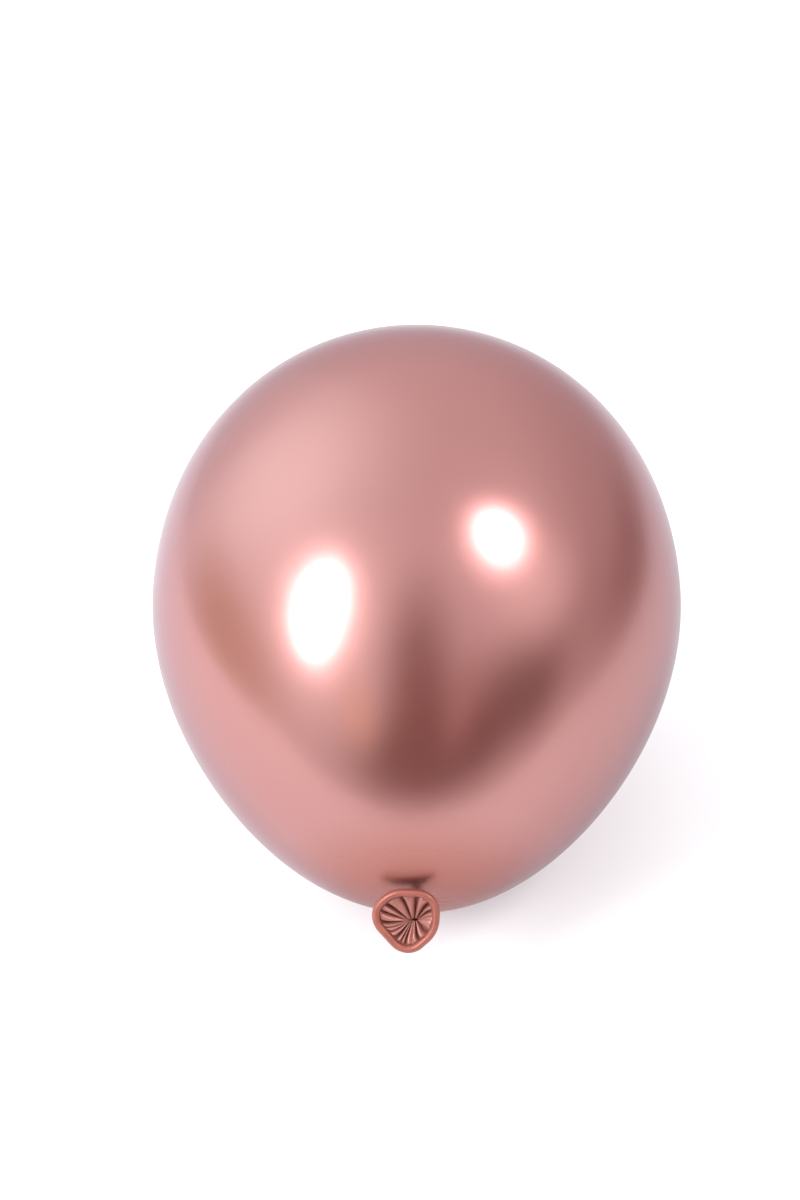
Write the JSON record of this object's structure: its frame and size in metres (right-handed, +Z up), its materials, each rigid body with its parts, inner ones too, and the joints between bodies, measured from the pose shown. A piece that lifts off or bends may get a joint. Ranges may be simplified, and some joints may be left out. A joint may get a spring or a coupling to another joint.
{
  "type": "latex party balloon",
  "caption": "Round balloon blown up and knotted, lying on its belly: metallic envelope, gathered neck, overhand knot, and a pleated mouth with a rolled bead turned up beside the belly.",
  "frame": {"origin": "on the table, under the middle of the balloon's box, so Z = 0 is where the belly rests", "axes": "+Z up; +Y horizontal, from the knot towards the crown; the balloon's own axis lies in the YZ plane, pitched 25 degrees with the crown high; +X to the right of someone who faces the mouth"},
  "size_m": [0.23, 0.2696, 0.2332],
  "materials": {
    "metallic_film": "gloss",
    "slack_latex": "satin"
  },
  "bodies": {
    "skin": {"envelope": "metallic_film", "gathered_neck": "metallic_film"},
    "knot": {"overhand_knot": "slack_latex"},
    "tail": {"pleated_mouth": "slack_latex", "rolled_bead": "slack_latex"}
  },
  "joints": [
    {"name": "neck_twist", "type": "hinge", "parent": "skin", "child": "knot", "pos_m": [0, -0.11728, 0.05564], "axis": [0, 0.9063, 0.4226], "range_deg": [-60, 60], "stiffness_Nm_per_rad": 0.0005},
    {"name": "tail_flex", "type": "hinge", "parent": "knot", "child": "tail", "pos_m": [0, -0.11728, 0.05564], "axis": [1, 0, 0], "range_deg": [-5, 90], "stiffness_Nm_per_rad": 0.001}
  ]
}
